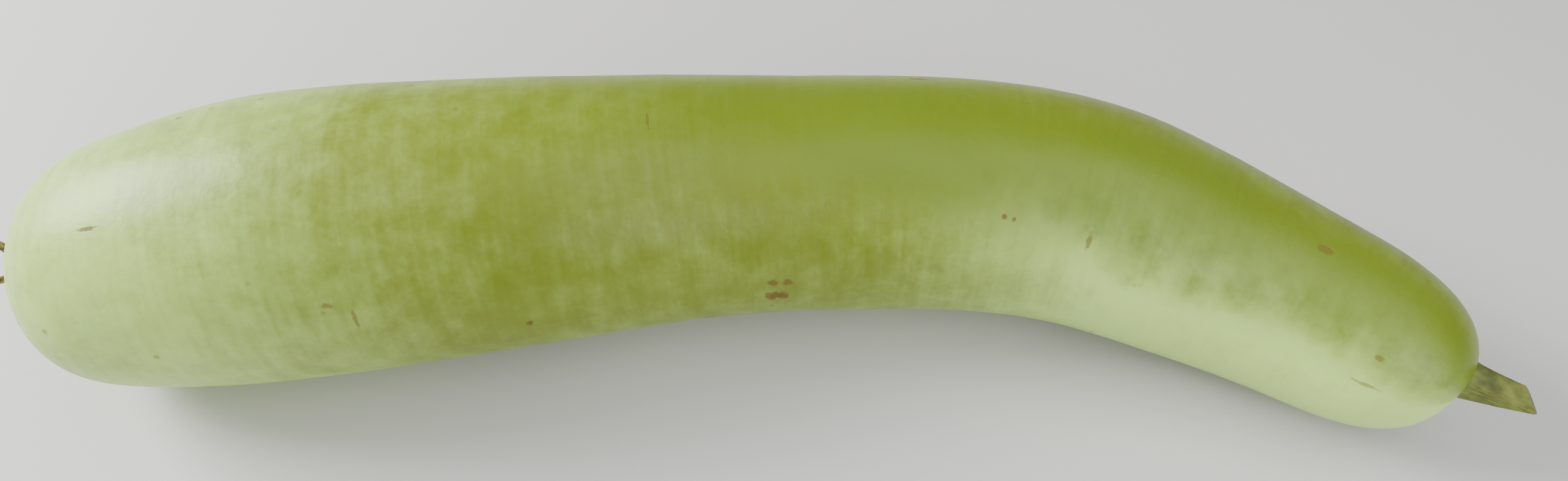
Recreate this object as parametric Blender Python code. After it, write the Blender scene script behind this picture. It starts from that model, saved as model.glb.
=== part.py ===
"""A long bottle gourd lying on its side, with the cut stub of its stalk and the dried remains of its flower.

The fruit is one solid grown along a gently bent centre line. It rests on three low spots that its own
weight has pressed flat. The stalk stands in a shallow socket at the slimmer end. The flower's remains
sit in a shallow seat at the broad end.
"""

from bisect import bisect_right
from math import atan2, cos, exp, pi, radians, sin

import bmesh
import bpy
from mathutils import Matrix, Vector

# Centre line of the fruit seen from above (x, y), from the flower end to the stalk end
CENTRE_LINE = (
    (-0.2015, -0.0305),
    (-0.1650, -0.0280),
    (-0.1200, -0.0215),
    (-0.0700, -0.0145),
    (-0.0200, -0.0070),
    (0.0300, -0.0050),
    (0.0750, -0.0095),
    (0.1100, -0.0220),
    (0.1450, -0.0410),
    (0.1735, -0.0635),
)

# Share of the way along, and the radius there before the ends are rounded off
GIRTH = (
    (0.00, 0.0294),
    (0.12, 0.0372),
    (0.22, 0.0389),
    (0.36, 0.0365),
    (0.50, 0.0335),
    (0.62, 0.0330),
    (0.76, 0.0313),
    (0.88, 0.0266),
    (1.00, 0.0227),
)

# Share of the way along, and the height of the underside before the low spots are pressed flat
UNDERSIDE = (
    (0.00, 0.0030),
    (0.10, 0.0003),
    (0.21, -0.0006),
    (0.37, 0.0004),
    (0.54, -0.0006),
    (0.69, 0.0004),
    (0.83, -0.0006),
    (0.93, 0.0012),
    (1.00, 0.0050),
)

# Length over which each end is rounded off, and how full the rounding is (2 is an ellipse)
FLOWER_END_LENGTH = 0.0280
FLOWER_END_FULLNESS = 2.9
STALK_END_LENGTH = 0.0370
STALK_END_FULLNESS = 2.9

# Low collar that the skin raises round the foot of the stalk
COLLAR_HEIGHT = 0.0018
COLLAR_RADIUS = 0.0110

# Departures from a round section: share of the radius, and the height of the broad soft lumps
OVAL_SHARE = 0.006
LUMP_HEIGHT = 0.0003

FRUIT_SIDES = 64
FRUIT_RINGS = 58

# Stalk: five-ridged, tapering, bowed slightly upwards and cut off at a slant
STALK_LENGTH = 0.0185
STALK_ROOT = 0.0040
STALK_FOOT_RADIUS = 0.0058
STALK_NECK_RADIUS = 0.0053
STALK_TIP_RADIUS = 0.0027
STALK_RIDGES = 5
STALK_RIDGE_SHARE = 0.16
STALK_TWIST = radians(20)
STALK_BOW = 0.0017
STALK_SIDES = 40
STALK_RINGS = 14

# Shares of the stalk's length: where its ridges reach full height, and the spare that the cut takes off
STALK_RIDGE_START = 0.2
STALK_SPARE = 0.15

# How quickly the flare at the stalk's foot dies away up the stalk
STALK_FLARE_FADE = 6

# Where the stalk leaves the fruit: off the middle of the end, turned and raised from the fruit's heading
STALK_OFF_SIDEWAYS = 0.0028
STALK_OFF_UPWARDS = 0.0020
STALK_TURN = radians(4)
STALK_RISE = radians(8)

# The cut crosses the stalk's axis at this height and leans by this much to one side
STALK_CUT_HEIGHT = 0.0162
STALK_CUT_TILT = radians(42)
STALK_CUT_SIDE = radians(55)

# Flower remains: a corky scar with five shrivelled petals
SCAR_RADIUS = 0.0046
SCAR_TOP_RADIUS = 0.0033
SCAR_THICKNESS = 0.0020
SCAR_DEPTH = 0.0009
SCAR_SIDES = 28
PETAL_COUNT = 5
PETAL_LENGTH = 0.0130
PETAL_WIDTH = 0.0032
PETAL_TIP_NARROWING = 0.6
PETAL_THICKNESS = 0.0008
PETAL_CRINKLE = 0.0005
PETAL_START_RADIUS = 0.0016
PETAL_START_DEPTH = 0.0006
PETAL_FIRST_SPIN = radians(38)
PETAL_LEAN = radians(20)
PETAL_CURL = radians(38)
PETAL_TWIST = radians(46)
PETAL_STEPS = 9

# How far single petals stray from those values
PETAL_LENGTH_SPREAD = 0.14
PETAL_LEAN_SPREAD = radians(8)
PETAL_CURL_SPREAD = 0.3

# Air left between pieces that touch
GAP = 0.0003

# How far a cutter stands out of the surface that it cuts
CUTTER_REACH = 0.010

# Edges that turn by more than this are shaded sharp
SHARP_ANGLE = radians(35)

# Name, colour and roughness of each finish
SKIN_FINISH = ("gourd skin", (0.33, 0.41, 0.15), 0.42)
STALK_FINISH = ("stalk", (0.20, 0.23, 0.06), 0.62)
FLOWER_FINISH = ("dried flower", (0.16, 0.11, 0.06), 0.85)


def smooth_curve(points, steps=24):
    """Points along a smooth curve that passes through every given point."""
    ends = [2 * points[0] - points[1], *points, 2 * points[-1] - points[-2]]
    curve = []
    for before, start, end, after in zip(ends, ends[1:], ends[2:], ends[3:]):
        for step in range(steps):
            t = step / steps
            bend = 2 * before - 5 * start + 4 * end - after
            twist = 3 * start - before - 3 * end + after
            curve.append(0.5 * (2 * start + (end - before) * t + bend * t ** 2 + twist * t ** 3))
    curve.append(points[-1].copy())
    return curve


def reading(keys, values, key):
    """Value at the key, read straight between the two nearest rows."""
    row = min(max(bisect_right(keys, key) - 1, 0), len(keys) - 2)
    t = (key - keys[row]) / (keys[row + 1] - keys[row])
    return values[row] * (1 - t) + values[row + 1] * t


class Profile:
    """A smooth value along the fruit, given at a few shares of its length."""

    def __init__(self, rows):
        curve = smooth_curve([Vector(row) for row in rows])
        self.shares = [point.x for point in curve]
        self.values = [point.y for point in curve]

    def at(self, share):
        return reading(self.shares, self.values, share)


class CentreLine:
    """The fruit's centre line seen from above, read by the share of its length."""

    def __init__(self, points):
        self.points = smooth_curve([Vector(point) for point in points])
        run = 0.0
        runs = [run]
        for start, end in zip(self.points, self.points[1:]):
            run += (end - start).length
            runs.append(run)
        self.length = run
        self.shares = [distance / run for distance in runs]

    def point(self, share):
        return reading(self.shares, self.points, share)

    def heading(self, share, reach=0.004):
        ahead = self.point(min(share + reach, 1.0))
        behind = self.point(max(share - reach, 0.0))
        return (ahead - behind).normalized()


LINE = CentreLine(CENTRE_LINE)
RADIUS = Profile(GIRTH)
LOWEST = Profile(UNDERSIDE)


def end_rounding(distance, length, fullness):
    """Share of the full radius that is left at a distance from a pole."""
    inward = 1 - min(distance / length, 1.0)
    return (1 - inward ** fullness) ** (1 / fullness)


def centre_height(share):
    return RADIUS.at(share) + LOWEST.at(share)


def bare_skin_point(share, angle):
    """Point of the skin at a share of the length and an angle round it, before the collar is raised."""
    from_flower = share * LINE.length
    from_stalk = (1 - share) * LINE.length
    radius = RADIUS.at(share)
    radius *= end_rounding(from_flower, FLOWER_END_LENGTH, FLOWER_END_FULLNESS)
    radius *= end_rounding(from_stalk, STALK_END_LENGTH, STALK_END_FULLNESS)
    upper = (1 + sin(angle)) / 2
    oval = OVAL_SHARE * cos(2 * angle + 4 * share) * radius
    lump = LUMP_HEIGHT * sin(3 * angle + 11 * share) * sin(26 * share + 1.3 * angle) * sin(pi * share)
    radius += upper * (oval + lump)
    heading = LINE.heading(share).to_3d()
    sideways = Vector((-heading.y, heading.x, 0.0))
    centre = LINE.point(share).to_3d()
    centre.z = centre_height(share)
    return centre + sideways * radius * cos(angle) + Vector((0.0, 0.0, radius * sin(angle)))


def end_frame(share, outward, turn, rise, off_sideways, off_upwards):
    """Placement at an end of the fruit, with +Z pointing out of it and +Y upwards."""
    heading = LINE.heading(share).to_3d() * outward
    up = Vector((0.0, 0.0, 1.0))
    axis = (Matrix.Rotation(turn, 3, up) @ heading) * cos(rise) + up * sin(rise)
    axis.normalize()
    across = up.cross(axis).normalized()
    upward = axis.cross(across)
    frame = Matrix((across, upward, axis)).transposed().to_4x4()
    frame.translation = bare_skin_point(share, pi / 2) + across * off_sideways + upward * off_upwards
    return frame


STALK_FRAME = end_frame(1.0, 1.0, STALK_TURN, STALK_RISE, STALK_OFF_SIDEWAYS, STALK_OFF_UPWARDS)
FLOWER_FRAME = end_frame(0.0, -1.0, 0.0, 0.0, 0.0, 0.0)


def skin_point(share, angle):
    """Point of the skin, with the collar raised round the foot of the stalk."""
    point = bare_skin_point(share, angle)
    if share > 0.5:
        local = STALK_FRAME.inverted() @ point
        nearness = exp(-(local.xy.length / COLLAR_RADIUS) ** 2)
        point += STALK_FRAME.to_3x3() @ Vector((0.0, 0.0, COLLAR_HEIGHT * nearness))
    return point


def material(name, colour, roughness):
    finish = bpy.data.materials.new(name)
    finish.use_nodes = True
    shader = finish.node_tree.nodes["Principled BSDF"]
    shader.inputs["Base Color"].default_value = (*colour, 1.0)
    shader.inputs["Roughness"].default_value = roughness
    shader.inputs["Metallic"].default_value = 0.0
    return finish


def named_object(name, bm, collection):
    """A named, smooth-shaded object in a collection, from a finished bmesh."""
    mesh = bpy.data.meshes.new(name)
    bm.to_mesh(mesh)
    bm.free()
    mesh.shade_smooth()
    mesh.set_sharp_from_angle(angle=SHARP_ANGLE)
    piece = bpy.data.objects.new(name, mesh)
    collection.objects.link(piece)
    return piece


def cut(piece, cutter):
    boolean = piece.modifiers.new("cut for " + cutter.name, "BOOLEAN")
    boolean.operation = "DIFFERENCE"
    boolean.object = cutter


def build_fruit(collection):
    """A ball stretched along the centre line, then pressed flat where it rests."""
    bm = bmesh.new()
    bmesh.ops.create_uvsphere(bm, u_segments=FRUIT_SIDES, v_segments=FRUIT_RINGS, radius=1.0)
    for vertex in bm.verts:
        share = min(max((1 + vertex.co.z) / 2, 0.0), 1.0)
        vertex.co = skin_point(share, atan2(vertex.co.y, vertex.co.x))
        vertex.co.z = max(vertex.co.z, 0.0)
    pressed = [face for face in bm.faces if all(vertex.co.z == 0.0 for vertex in face.verts)]
    bmesh.ops.dissolve_faces(bm, faces=pressed)
    fruit = named_object("fruit", bm, collection)
    fruit.data.materials.append(material(*SKIN_FINISH))
    return fruit


def plug_cutter(name, radius, depth, frame, collection):
    """Round cutter that makes a seat of a depth in an end of the fruit."""
    length = depth + CUTTER_REACH
    bm = bmesh.new()
    bmesh.ops.create_cone(bm, cap_ends=True, segments=STALK_SIDES, depth=length,
                          radius1=radius, radius2=radius)
    bmesh.ops.translate(bm, verts=bm.verts, vec=(0.0, 0.0, (CUTTER_REACH - depth) / 2))
    cutter = named_object(name, bm, collection)
    cutter.matrix_world = frame
    cutter.hide_render = True
    cutter.display_type = "WIRE"
    return cutter


def stalk_radius(height):
    """Radius of the stalk above the skin: an even taper with a flared foot."""
    t = max(height, 0.0) / STALK_LENGTH
    taper = STALK_NECK_RADIUS + (STALK_TIP_RADIUS - STALK_NECK_RADIUS) * t
    return taper + (STALK_FOOT_RADIUS - STALK_NECK_RADIUS) * exp(-STALK_FLARE_FADE * t)


def stalk_point(height, angle):
    """Point of the stalk's surface, in the stalk's own frame."""
    above = min(max(height / (STALK_RIDGE_START * STALK_LENGTH), 0.0), 1.0)
    twisted = angle + STALK_TWIST * height / STALK_LENGTH
    crest = 1 - abs(sin(STALK_RIDGES * twisted / 2))
    radius = stalk_radius(height) * (1 + above * STALK_RIDGE_SHARE * (crest - 0.5))
    bow = STALK_BOW * (max(height, 0.0) / STALK_LENGTH) ** 2
    return Vector((radius * cos(angle), radius * sin(angle) + bow, height))


def build_peduncle(collection, frame):
    """Rings raised one from another, capped, and cut off at a slant."""
    bm = bmesh.new()
    bmesh.ops.create_circle(bm, segments=STALK_SIDES, radius=1.0)
    angles = [2 * pi * side / STALK_SIDES for side in range(STALK_SIDES)]
    ring = sorted(bm.verts, key=lambda vertex: atan2(vertex.co.y, vertex.co.x) % (2 * pi))
    for angle, vertex in zip(angles, ring):
        vertex.co = stalk_point(-STALK_ROOT, angle)
    edges = list(bm.edges)
    bmesh.ops.holes_fill(bm, edges=edges, sides=STALK_SIDES)
    top = STALK_LENGTH * (1 + STALK_SPARE)
    for step in range(1, STALK_RINGS + 1):
        height = -STALK_ROOT + (top + STALK_ROOT) * step / STALK_RINGS
        raised = bmesh.ops.extrude_edge_only(bm, edges=edges)["geom"]
        edges = [item for item in raised if isinstance(item, bmesh.types.BMEdge)]
        ring = [item for item in raised if isinstance(item, bmesh.types.BMVert)]
        for vertex in ring:
            vertex.co = stalk_point(height, atan2(vertex.co.y, vertex.co.x))
    bmesh.ops.holes_fill(bm, edges=edges, sides=STALK_SIDES)
    lean = Vector((cos(STALK_CUT_SIDE), sin(STALK_CUT_SIDE), 0.0)) * sin(STALK_CUT_TILT)
    normal = lean + Vector((0.0, 0.0, cos(STALK_CUT_TILT)))
    whole = list(bm.verts) + list(bm.edges) + list(bm.faces)
    middle = (0.0, STALK_BOW, STALK_CUT_HEIGHT)
    knife = bmesh.ops.bisect_plane(bm, geom=whole, plane_co=middle, plane_no=normal, clear_outer=True)
    rim = [item for item in knife["geom_cut"] if isinstance(item, bmesh.types.BMEdge)]
    bmesh.ops.holes_fill(bm, edges=rim, sides=0)
    bmesh.ops.recalc_face_normals(bm, faces=bm.faces)
    peduncle = named_object("peduncle", bm, collection)
    peduncle.matrix_world = frame
    peduncle.data.materials.append(material(*STALK_FINISH))
    return peduncle


def petal_point(index, along, across, through):
    """Point of one dried petal: it rises from the scar, curls outwards and shrivels towards its tip."""
    spin = PETAL_FIRST_SPIN + 2 * pi * index / PETAL_COUNT
    length = PETAL_LENGTH * (1 + PETAL_LENGTH_SPREAD * sin(2.4 * index + 1))
    lean = PETAL_LEAN + PETAL_LEAN_SPREAD * sin(1.9 * index)
    curl = PETAL_CURL * (1 + PETAL_CURL_SPREAD * sin(3.1 * index + 2))
    bearing = lean + curl * along
    outward = PETAL_START_RADIUS + length * (cos(lean) - cos(bearing)) / curl
    height = length * (sin(bearing) - sin(lean)) / curl - PETAL_START_DEPTH
    inward = Vector((cos(bearing), 0.0, -sin(bearing)))
    twist = PETAL_TWIST * along * sin(1.7 * index + 0.6)
    width = PETAL_WIDTH * (1 - PETAL_TIP_NARROWING * along) * across
    thickness = PETAL_THICKNESS * through + PETAL_CRINKLE * sin(8 * along + index) * along
    flat = Vector((0.0, width, 0.0)) * cos(twist) + inward * (thickness + width * sin(twist))
    return Matrix.Rotation(spin, 3, "Z") @ (Vector((outward, 0.0, height)) + flat)


def build_petal(index, collection):
    """A thin bar cut into steps along its length, then bent to the petal's shape."""
    bm = bmesh.new()
    bmesh.ops.create_cube(bm, size=1.0)
    lengthways = [edge for edge in bm.edges if abs(edge.verts[0].co.z - edge.verts[1].co.z) > 0.5]
    bmesh.ops.subdivide_edges(bm, edges=lengthways, cuts=PETAL_STEPS)
    for vertex in bm.verts:
        vertex.co = petal_point(index, vertex.co.z + 0.5, vertex.co.y, vertex.co.x)
    bmesh.ops.triangulate(bm, faces=bm.faces)
    return named_object("petal_%d" % index, bm, collection)


def build_blossom_scar(collection, petals, frame):
    """A low round scar with its petals joined to it as one body."""
    bm = bmesh.new()
    disc = bmesh.ops.create_cone(bm, cap_ends=True, segments=SCAR_SIDES, depth=SCAR_THICKNESS,
                                 radius1=SCAR_RADIUS, radius2=SCAR_TOP_RADIUS)
    bottom = -SCAR_DEPTH + GAP
    bmesh.ops.translate(bm, verts=disc["verts"], vec=(0.0, 0.0, bottom + SCAR_THICKNESS / 2))
    scar = named_object("blossom_scar", bm, collection)
    for index in range(PETAL_COUNT):
        build_petal(index, petals)
    union = scar.modifiers.new("petals joined on", "BOOLEAN")
    union.operation = "UNION"
    union.operand_type = "COLLECTION"
    union.collection = petals
    scene_state = bpy.context.evaluated_depsgraph_get()
    joined = bpy.data.meshes.new_from_object(scar.evaluated_get(scene_state))
    joined.name = "blossom_scar"
    scar.modifiers.clear()
    scar.data = joined
    for petal in list(petals.objects):
        bpy.data.objects.remove(petal)
    scar.data.materials.clear()
    scar.data.materials.append(material(*FLOWER_FINISH))
    scar.matrix_world = frame
    return scar


def centre_on_origin(root, pieces):
    """Shift everything so that the box round it stands centred over the origin."""
    bpy.context.view_layer.update()
    scene_state = bpy.context.evaluated_depsgraph_get()
    corners = []
    for piece in pieces:
        evaluated = piece.evaluated_get(scene_state)
        corners += [evaluated.matrix_world @ vertex.co for vertex in evaluated.data.vertices]
    for axis in range(2):
        lowest = min(corner[axis] for corner in corners)
        highest = max(corner[axis] for corner in corners)
        root.location[axis] = -(lowest + highest) / 2


def new_collection(name):
    collection = bpy.data.collections.new(name)
    bpy.context.scene.collection.children.link(collection)
    return collection


def build():
    for leftover in list(bpy.data.objects):
        bpy.data.objects.remove(leftover)
    gourd = new_collection("bottle_gourd")
    cutters = new_collection("cutters")
    petals = new_collection("petals")
    root = bpy.data.objects.new("gourd_centre", None)
    gourd.objects.link(root)

    fruit = build_fruit(gourd)
    cut(fruit, plug_cutter("stalk_socket", STALK_FOOT_RADIUS + GAP, STALK_ROOT + GAP, STALK_FRAME, cutters))
    cut(fruit, plug_cutter("scar_seat", SCAR_RADIUS + GAP, SCAR_DEPTH, FLOWER_FRAME, cutters))
    peduncle = build_peduncle(gourd, STALK_FRAME)
    blossom_scar = build_blossom_scar(gourd, petals, FLOWER_FRAME)
    bpy.data.collections.remove(petals)

    pieces = [fruit, peduncle, blossom_scar]
    for piece in [*pieces, *cutters.objects]:
        piece.parent = root
    centre_on_origin(root, pieces)


build()
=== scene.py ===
"""A long bottle gourd lying on its side on a pale floor, seen from above its near side."""

from bisect import bisect_right
from math import atan2, cos, exp, pi, radians, sin

import bmesh
import bpy
from mathutils import Matrix, Vector, noise


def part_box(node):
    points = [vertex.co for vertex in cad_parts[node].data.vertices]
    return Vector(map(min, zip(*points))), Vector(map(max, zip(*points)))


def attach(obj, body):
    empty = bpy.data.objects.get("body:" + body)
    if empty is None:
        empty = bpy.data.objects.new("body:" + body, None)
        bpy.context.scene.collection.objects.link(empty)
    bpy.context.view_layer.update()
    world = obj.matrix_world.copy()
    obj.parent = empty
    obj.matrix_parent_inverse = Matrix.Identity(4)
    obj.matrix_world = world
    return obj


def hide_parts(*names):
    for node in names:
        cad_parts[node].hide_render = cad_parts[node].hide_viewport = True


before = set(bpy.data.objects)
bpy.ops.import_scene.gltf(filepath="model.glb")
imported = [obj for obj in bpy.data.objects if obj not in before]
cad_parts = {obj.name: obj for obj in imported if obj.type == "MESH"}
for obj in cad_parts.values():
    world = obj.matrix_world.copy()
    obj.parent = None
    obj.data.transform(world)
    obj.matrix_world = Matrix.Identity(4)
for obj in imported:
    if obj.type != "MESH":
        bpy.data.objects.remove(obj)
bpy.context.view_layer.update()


class Field:
    """An output in a material that can be worked with like a number."""

    def __init__(self, tree, socket):
        self.tree = tree
        self.socket = socket

    def node(self, kind, settings, inputs, output=0):
        made = self.tree.nodes.new(kind)
        for name, value in settings.items():
            setattr(made, name, value)
        for name, value in inputs.items():
            if isinstance(value, Field):
                self.tree.links.new(value.socket, made.inputs[name])
            else:
                made.inputs[name].default_value = value
        return Field(self.tree, made.outputs[output])

    def math(self, operation, *values):
        return self.node("ShaderNodeMath", {"operation": operation}, dict(enumerate(values)))

    def __add__(self, other):
        return self.math("ADD", self, other)

    def __sub__(self, other):
        return self.math("SUBTRACT", self, other)

    def __rsub__(self, other):
        return self.math("SUBTRACT", other, self)

    def __mul__(self, other):
        return self.math("MULTIPLY", self, other)

    __radd__ = __add__
    __rmul__ = __mul__

    def step(self, start, end):
        """0 before start and 1 after end, with a soft change between them."""
        inputs = {"Value": self, "From Min": start, "From Max": end}
        return self.node("ShaderNodeMapRange", {"interpolation_type": "SMOOTHSTEP"}, inputs)

    def tint(self, dark, light):
        """Colour between two colours, with this field as the share of the second."""
        inputs = {0: self}
        for place, colour in ((6, dark), (7, light)):
            inputs[place] = colour if isinstance(colour, Field) else (*colour, 1.0)
        return self.node("ShaderNodeMix", {"data_type": "RGBA"}, inputs, output=2)

    def vector(self, operation, other):
        return self.node("ShaderNodeVectorMath", {"operation": operation}, {0: self, 1: other})

    def split(self):
        """The three parts of this vector."""
        separate = self.tree.nodes.new("ShaderNodeSeparateXYZ")
        self.tree.links.new(self.socket, separate.inputs[0])
        return [Field(self.tree, output) for output in separate.outputs]

    def grain(self, scale, detail=3.0):
        """Noise read at this position."""
        return self.node("ShaderNodeTexNoise", {}, {"Vector": self, "Scale": scale, "Detail": detail})

    def into(self, shader, name):
        """Send this field to a socket of the shader."""
        self.tree.links.new(self.socket, shader.inputs[name])


def finish_of(name, roughness):
    """A new material, its shader node and a field to start its pattern from."""
    material = bpy.data.materials.new(name)
    material.use_nodes = True
    shader = material.node_tree.nodes["Principled BSDF"]
    shader.inputs["Roughness"].default_value = roughness
    return material, shader, Field(material.node_tree, None)


def raise_relief(field, shader, height, distance):
    """Send a height field to the shader as a bump."""
    field.node("ShaderNodeBump", {}, {"Height": height, "Distance": distance}).into(shader, "Normal")


def show_as(node, material):
    """Give a CAD node a better material and leave its mesh as it is."""
    shown_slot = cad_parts[node].material_slots[0]
    shown_slot.link = "OBJECT"
    shown_slot.material = material


# Fruit: one berry with firm pale flesh under a thin, tough, waxy rind. It swelled while it hung, bent a
# little towards its slim end, and its low spots are pressed flat by its own weight. Nothing fixes it:
# it lies loose on its side.

# Centre line seen from above (x, y), from the flower end to the stalk end
CENTRE_LINE = (
    (-0.2015, -0.0305), (-0.1650, -0.0280), (-0.1200, -0.0215), (-0.0700, -0.0145), (-0.0200, -0.0070),
    (0.0300, -0.0050), (0.0750, -0.0095), (0.1100, -0.0220), (0.1450, -0.0410), (0.1735, -0.0635),
)

# Share of the way along, and the radius there before the ends are rounded off
GIRTH = (
    (0.00, 0.0294), (0.12, 0.0372), (0.22, 0.0389), (0.36, 0.0365), (0.50, 0.0335),
    (0.62, 0.0330), (0.76, 0.0313), (0.88, 0.0266), (1.00, 0.0227),
)

# Share of the way along, and the height of the underside before it is pressed flat
UNDERSIDE = (
    (0.00, 0.0030), (0.10, 0.0003), (0.21, -0.0006), (0.37, 0.0004), (0.54, -0.0006),
    (0.69, 0.0004), (0.83, -0.0006), (0.93, 0.0012), (1.00, 0.0050),
)

FLOWER_END_LENGTH = 0.0280
STALK_END_LENGTH = 0.0370
END_FULLNESS = 2.9
HEADING_REACH = 0.004
OVAL_SHARE = 0.006
LUMP_HEIGHT = 0.0003
COLLAR_HEIGHT = 0.0018
COLLAR_RADIUS = 0.0110
FRUIT_SIDES = 232
FRUIT_RINGS = 360

# Fine waviness of the skin: its height, waves per metre, and the share of the finer wave
WAVE_HEIGHT = 0.00016
BROAD_WAVE = 70
FINE_WAVE = 190
FINE_WAVE_SHARE = 0.4

# Where the stalk leaves the fruit: off the middle of the end, turned and raised from its heading
STALK_OFF_SIDEWAYS = 0.0028
STALK_OFF_UPWARDS = 0.0020
STALK_TURN = radians(4)
STALK_RISE = radians(8)


def smooth_curve(points, steps=24):
    """Points along a smooth curve that passes through every given point."""
    ends = [2 * points[0] - points[1], *points, 2 * points[-1] - points[-2]]
    curve = []
    for before, start, end, after in zip(ends, ends[1:], ends[2:], ends[3:]):
        for step in range(steps):
            t = step / steps
            bend = 2 * before - 5 * start + 4 * end - after
            twist = 3 * start - before - 3 * end + after
            curve.append(0.5 * (2 * start + (end - before) * t + bend * t ** 2 + twist * t ** 3))
    curve.append(points[-1].copy())
    return curve


def reading(keys, values, key):
    """Value at the key, read straight between the two nearest rows."""
    row = min(max(bisect_right(keys, key) - 1, 0), len(keys) - 2)
    t = (key - keys[row]) / (keys[row + 1] - keys[row])
    return values[row] * (1 - t) + values[row + 1] * t


def profile(rows, share):
    """Value at a share of the length, on the smooth curve through the rows."""
    curve = smooth_curve([Vector(row) for row in rows])
    return reading([point.x for point in curve], [point.y for point in curve], share)


line = smooth_curve([Vector(point) for point in CENTRE_LINE])
runs = [0.0]
for start, end in zip(line, line[1:]):
    runs.append(runs[-1] + (end - start).length)
fruit_length = runs[-1]


def end_rounding(distance, length):
    """Share of the full radius that is left at a distance from a pole."""
    inward = 1 - min(distance / length, 1.0)
    return (1 - inward ** END_FULLNESS) ** (1 / END_FULLNESS)


def ring_at(share):
    """Centre, sideways direction, full radius and rounded radius of the fruit at a share of its length."""
    centre = reading(runs, line, share * fruit_length).to_3d()
    ahead = reading(runs, line, min(share + HEADING_REACH, 1.0) * fruit_length)
    behind = reading(runs, line, max(share - HEADING_REACH, 0.0) * fruit_length)
    heading = (ahead - behind).normalized()
    full = profile(GIRTH, share)
    centre.z = full + profile(UNDERSIDE, share)
    radius = full * end_rounding(share * fruit_length, FLOWER_END_LENGTH)
    radius *= end_rounding((1 - share) * fruit_length, STALK_END_LENGTH)
    return centre, Vector((-heading.y, heading.x, 0.0)), full, radius


# Line along which the stalk stands, in the fruit's own place before it is centred over the origin
end_centre, end_sideways, end_full, end_radius = ring_at(1.0)
straight_up = Vector((0.0, 0.0, 1.0))
end_heading = end_sideways.cross(straight_up)
level_axis = Matrix.Rotation(STALK_TURN, 3, straight_up) @ end_heading
stalk_axis = (level_axis * cos(STALK_RISE) + straight_up * sin(STALK_RISE)).normalized()
stalk_across = straight_up.cross(stalk_axis).normalized()
stalk_upward = stalk_axis.cross(stalk_across)
stalk_foot = end_centre + stalk_across * STALK_OFF_SIDEWAYS + stalk_upward * STALK_OFF_UPWARDS

bm = bmesh.new()
bmesh.ops.create_uvsphere(bm, u_segments=FRUIT_SIDES, v_segments=FRUIT_RINGS, radius=1.0)
straight_layer = bm.verts.layers.float_vector.new("straight")
rings = {}
for vertex in bm.verts:
    share = min(max((1 + vertex.co.z) / 2, 0.0), 1.0)
    angle = atan2(vertex.co.y, vertex.co.x)
    key = round(share, 6)
    if key not in rings:
        rings[key] = ring_at(share)
    centre, sideways, full, radius = rings[key]
    upper = (1 + sin(angle)) / 2
    lump = LUMP_HEIGHT * sin(3 * angle + 11 * share) * sin(26 * share + 1.3 * angle) * sin(pi * share)
    radius += upper * (OVAL_SHARE * cos(2 * angle + 4 * share) * radius + lump)
    straight = Vector((share * fruit_length, full * cos(angle), full * sin(angle)))
    wave = noise.noise(straight * BROAD_WAVE) + FINE_WAVE_SHARE * noise.noise(straight * FINE_WAVE)
    radius += upper * WAVE_HEIGHT * wave * min(radius / full, 1.0)
    point = centre + sideways * radius * cos(angle) + Vector((0.0, 0.0, radius * sin(angle)))
    if share > 0.5:
        offset = point - stalk_foot
        aside = (offset - stalk_axis * offset.dot(stalk_axis)).length
        point += stalk_axis * COLLAR_HEIGHT * exp(-(aside / COLLAR_RADIUS) ** 2)
    point.z = max(point.z, 0.0)
    vertex.co = point
    vertex[straight_layer] = straight
low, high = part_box("fruit")
middle = (low + high) / 2
xs = [vertex.co.x for vertex in bm.verts]
ys = [vertex.co.y for vertex in bm.verts]
shift = Vector((middle.x - (min(xs) + max(xs)) / 2, middle.y - (min(ys) + max(ys)) / 2, 0.0))
bmesh.ops.translate(bm, verts=bm.verts, vec=shift)
mesh = bpy.data.meshes.new("rind")
bm.to_mesh(mesh)
bm.free()
mesh.shade_smooth()
rind = bpy.data.objects.new("rind", mesh)
bpy.context.scene.collection.objects.link(rind)

# Rind: paler at the flower end, partly its own colour and partly a painted highlight, with a darker band
# along the crest and soft mottles; a painted reflection makes the near side of the slim half paler, and
# the underside is paler from a real ground spot and painted bounce light
skin, shader, field = finish_of("rind skin", 0.40)
straight = field.node("ShaderNodeAttribute", {"attribute_name": "straight"}, {}, output=1)
along, across, upward = straight.split()
share = along * (1 / fruit_length)
spread = across * across + upward * upward
per_radius = spread.math("INVERSE_SQRT", spread)
turn = share.step(0.35, 0.85) * radians(30) + radians(82)
towards = (across * turn.math("COSINE", turn) + upward * turn.math("SINE", turn)) * per_radius
broad = straight.grain(28.0, 2.0)
mottle = straight.grain(150.0, 4.0)
fine = straight.grain(620.0, 2.0)
streak = straight.vector("MULTIPLY", (420.0, 34.0, 34.0)).grain(1.0, 3.0)
band = (towards + (broad - 0.5) * 0.35 + (mottle - 0.5) * 0.12).step(0.60, 1.02) * share.step(0.22, 0.60)
# Paler towards the flower end: partly the rind's own colour, partly a painted highlight where the window
# lamp falls
paleness_and_painted_sheen = share.step(0.34, 0.00) * 0.80 + (broad - 0.5) * 0.55
# Painted reflection: a paler patch on the slim half where the skin faces the near side and upwards
painted_reflection_side = (upward * 0.34 - across * 0.94) * per_radius
paleness_and_painted_sheen = painted_reflection_side.step(0.30, 0.95) * share.step(0.56, 0.80) + paleness_and_painted_sheen
# Paler underside: partly a real ground spot, partly painted bounce light from below
ground_spot_and_painted_bounce = upward.step(0.004, -0.034) * 0.35
tone = (mottle - 0.5) * 0.85 + (streak - 0.5) * 0.55 + (fine - 0.5) * 0.35
colour = (paleness_and_painted_sheen + ground_spot_and_painted_bounce + tone * 0.6).step(-0.22, 1.15).tint((0.165, 0.215, 0.008), (0.560, 0.800, 0.210))
colour = (band * 0.80 + tone * 0.30).step(0.0, 1.0).tint(colour, (0.130, 0.195, 0.006))

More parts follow.
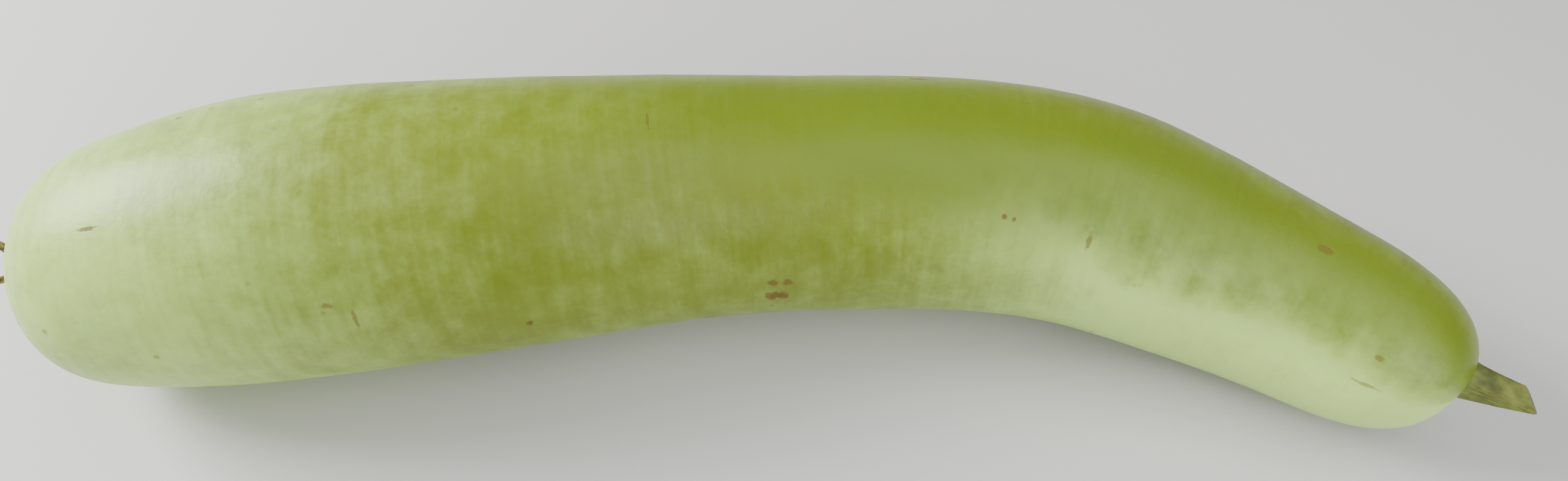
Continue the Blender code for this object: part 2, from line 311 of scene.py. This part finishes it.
# Healed marks: share along, degrees round, half length and half width in metres, and strength
MARKS = (
    (0.088, 112, 0.0052, 0.0005, 0.80),
    (0.130, 62, 0.0010, 0.0008, 0.60),
    (0.150, 60, 0.0007, 0.0009, 0.55),
    (0.182, 58, 0.0008, 0.0006, 0.50),
    (0.222, 153, 0.0011, 0.0009, 0.60),
    (0.236, 160, 0.0005, 0.0030, 0.55),
    (0.337, 176, 0.0011, 0.0011, 0.85),
    (0.430, 90, 0.0004, 0.0026, 0.45),
    (0.458, 205, 0.0030, 0.0009, 0.75),
    (0.508, 180, 0.0036, 0.0019, 0.85),
    (0.506, 170, 0.0016, 0.0011, 0.70),
    (0.516, 170, 0.0014, 0.0011, 0.70),
    (0.610, 56, 0.0028, 0.0006, 0.75),
    (0.668, 134, 0.0007, 0.0007, 0.80),
    (0.675, 135, 0.0006, 0.0006, 0.70),
    (0.735, 139, 0.0009, 0.0024, 0.65),
    (0.885, 92, 0.0022, 0.0012, 0.55),
    (0.947, 134, 0.0013, 0.0008, 0.60),
    (0.950, 153, 0.0042, 0.0006, 0.55),
)
scarred = 0.0
for place, degrees, half_length, half_width, strength in MARKS:
    reach = profile(GIRTH, place)
    spot = (place * fruit_length, reach * cos(radians(degrees)), reach * sin(radians(degrees)))
    scale = (1 / half_length, 1 / half_width, 1 / half_width)
    offset = straight.vector("SUBTRACT", spot).vector("MULTIPLY", scale)
    apart = offset.node("ShaderNodeVectorMath", {"operation": "LENGTH"}, {0: offset}, output=1)
    scarred = (apart + (fine - 0.5) * 1.6).step(1.25, 0.55) * strength + scarred
pores = straight.node("ShaderNodeTexVoronoi", {}, {"Vector": straight, "Scale": 95.0})
specks = pores.step(0.10, 0.05) * broad.step(0.54, 0.62) * 0.45
blemished = scarred + specks
blemished = blemished.math("MINIMUM", blemished, 1.0)
blemished.tint(colour, (0.150, 0.070, 0.018)).into(shader, "Base Color")
rough = (mottle - 0.5) * 0.16 + blemished * 0.30 + 0.40
rough.into(shader, "Roughness")
shader.inputs["Coat Weight"].default_value = 0.05
shader.inputs["Specular IOR Level"].default_value = 0.28
shader.inputs["Coat Roughness"].default_value = 0.30
shader.inputs["Subsurface Weight"].default_value = 0.06
shader.inputs["Subsurface Radius"].default_value = (0.004, 0.006, 0.002)
relief = mottle * 0.5 + fine * 0.35 + streak * 0.3 - blemished * 0.6
raise_relief(field, shader, relief, 0.00022)
mesh.materials.append(skin)
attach(rind, "root")
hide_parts("fruit")

# Stalk stub: fibrous green tissue with five ridges, which carried the fruit on its vine. It grows out of
# the end of the fruit and was cut off at a slant, and the cut has dried brown. The CAD node is shown.
stalk, shader, field = finish_of("ribbed stalk", 0.62)
coordinates = field.node("ShaderNodeTexCoord", {}, {}, output=3)
fibre = coordinates.vector("MULTIPLY", (260.0, 260.0, 1400.0)).grain(1.0, 4.0)
patch = coordinates.grain(330.0, 3.0)
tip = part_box("peduncle")[1].x
towards_tip = coordinates.split()[0].step(tip - 0.0050, tip - 0.0002)
green = (fibre * 0.7 + patch * 0.3).step(0.30, 0.70).tint((0.070, 0.085, 0.009), (0.195, 0.220, 0.036))
colour = (towards_tip * 0.8 + (patch - 0.5) * 0.3).step(0.25, 0.95).tint(green, (0.165, 0.090, 0.062))
colour.into(shader, "Base Color")
raise_relief(field, shader, fibre + patch * 0.4, 0.0003)
show_as("peduncle", stalk)

# Flower remains: a low corky scar with five shrivelled, papery petals. They dried on where the flower
# stood, and still hold to the fruit by the scar. The CAD node is shown.
dried, shader, field = finish_of("dried petals", 0.88)
coordinates = field.node("ShaderNodeTexCoord", {}, {}, output=3)
crumple = coordinates.grain(520.0, 5.0)
vein = coordinates.vector("MULTIPLY", (300.0, 1500.0, 1500.0)).grain(1.0, 3.0)
colour = (crumple * 0.6 + vein * 0.4).step(0.32, 0.68).tint((0.055, 0.030, 0.014), (0.340, 0.245, 0.130))
colour.into(shader, "Base Color")
raise_relief(field, shader, crumple + vein * 0.5, 0.0005)
show_as("blossom_scar", dried)

# Floor: a plain pale matt sheet, far wider than the view.
bm = bmesh.new()
bmesh.ops.create_grid(bm, x_segments=1, y_segments=1, size=30.0)
sheet = bpy.data.meshes.new("floor")
bm.to_mesh(sheet)
bm.free()
floor = bpy.data.objects.new("floor", sheet)
bpy.context.scene.collection.objects.link(floor)
pale_floor, shader, field = finish_of("pale floor", 0.70)
shader.inputs["Base Color"].default_value = (0.62, 0.61, 0.59, 1.0)
sheet.materials.append(pale_floor)


def soft_light(name, place, aim, size, power):
    """A square lamp at a place, turned towards a point."""
    lamp = bpy.data.lights.new(name, "AREA")
    lamp.size = size
    lamp.energy = power
    holder = bpy.data.objects.new(name, lamp)
    bpy.context.scene.collection.objects.link(holder)
    holder.location = place
    holder.rotation_euler = (Vector(aim) - Vector(place)).to_track_quat("-Z", "Y").to_euler()


# Light: one broad lamp from the upper left behind the gourd, and two weaker fills
soft_light("window side", (-0.80, 0.22, 0.55), (-0.14, 0.0, 0.03), 0.45, 18.0)
soft_light("overhead fill", (0.35, -0.10, 1.00), (0.05, 0.0, 0.03), 0.90, 6.0)
soft_light("near fill", (0.50, -0.70, 0.50), (0.12, 0.0, 0.03), 0.60, 6.0)
world = bpy.data.worlds.new("studio")
world.use_nodes = True
world.node_tree.nodes["Background"].inputs["Color"].default_value = (0.90, 0.93, 1.00, 1.0)
world.node_tree.nodes["Background"].inputs["Strength"].default_value = 0.28
bpy.context.scene.world = world

# Camera: above the near side, looking down through a wide lens at a point on the floor
VIEW_AIM = Vector((0.01226, 0.02258, 0.0))
VIEW_DISTANCE = 0.336
VIEW_DOWN = radians(57)
camera = bpy.data.cameras.new("camera")
camera.sensor_width = 36.0
camera.lens = 24.65
camera.clip_start = 0.01
holder = bpy.data.objects.new("camera", camera)
bpy.context.scene.collection.objects.link(holder)
holder.location = VIEW_AIM + Vector((0.0, -cos(VIEW_DOWN), sin(VIEW_DOWN))) * VIEW_DISTANCE
holder.rotation_euler = (pi / 2 - VIEW_DOWN, 0.0, 0.0)
bpy.context.scene.camera = holder
